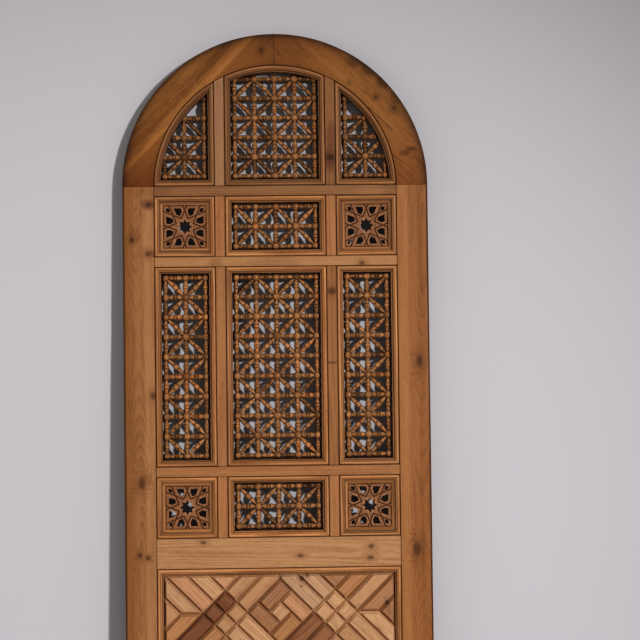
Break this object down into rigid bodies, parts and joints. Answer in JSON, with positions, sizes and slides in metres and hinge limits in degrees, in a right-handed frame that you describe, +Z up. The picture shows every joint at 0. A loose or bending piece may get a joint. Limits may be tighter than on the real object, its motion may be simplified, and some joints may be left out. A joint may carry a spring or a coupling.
{
  "type": "arched wooden door leaf",
  "caption": "Antique round-headed pine door leaf with turned wooden lattices, pierced star panels, beaded mouldings and a geometric parquetry panel below.",
  "frame": {"origin": "on the hinge edge, at half the leaf's thickness and half the height of the hinge stile", "axes": "+X from the hinge edge to the meeting edge, +Y from the front face to the back, +Z up"},
  "size_m": [0.75, 0.04, 2.1698],
  "materials": {
    "pine_frame": "old worn wax",
    "pine_head": "old dark wax",
    "pine_moulding": "old worn wax",
    "pine_lattice": "old worn wax",
    "pine_star": "old worn wax",
    "pine_parquet": "old worn wax"
  },
  "bodies": {
    "root": {"stile_left": "pine_frame", "stile_right": "pine_frame", "arch_rail": "pine_frame", "upper_rail": "pine_frame", "middle_rail": "pine_frame", "lock_rail": "pine_frame", "bottom_rail": "pine_frame", "muntin_arch_left": "pine_frame", "muntin_arch_right": "pine_frame", "muntin_upper_left": "pine_frame", "muntin_upper_right": "pine_frame", "muntin_middle_left": "pine_frame", "muntin_middle_right": "pine_frame", "muntin_lower_left": "pine_frame", "muntin_lower_right": "pine_frame", "head_left": "pine_head", "head_right": "pine_head", "moulding_arch_left": "pine_moulding", "moulding_arch_centre": "pine_moulding", "moulding_arch_right": "pine_moulding", "moulding_upper_left": "pine_moulding", "moulding_upper_centre": "pine_moulding", "moulding_upper_right": "pine_moulding", "moulding_middle_left": "pine_moulding", "moulding_middle_centre": "pine_moulding", "moulding_middle_right": "pine_moulding", "moulding_lower_left": "pine_moulding", "moulding_lower_centre": "pine_moulding", "moulding_lower_right": "pine_moulding", "moulding_panel": "pine_moulding", "star_frame_upper_left": "pine_moulding", "star_frame_upper_right": "pine_moulding", "star_frame_lower_left": "pine_moulding", "star_frame_lower_right": "pine_moulding", "lattice_arch_left": "pine_lattice", "lattice_arch_centre": "pine_lattice", "lattice_arch_right": "pine_lattice", "lattice_upper_centre": "pine_lattice", "lattice_middle_left": "pine_lattice", "lattice_middle_centre": "pine_lattice", "lattice_middle_right": "pine_lattice", "lattice_lower_centre": "pine_lattice", "star_panel_upper_left": "pine_star", "star_panel_upper_right": "pine_star", "star_panel_lower_left": "pine_star", "star_panel_lower_right": "pine_star", "lower_panel": "pine_parquet"}
  },
  "joints": []
}
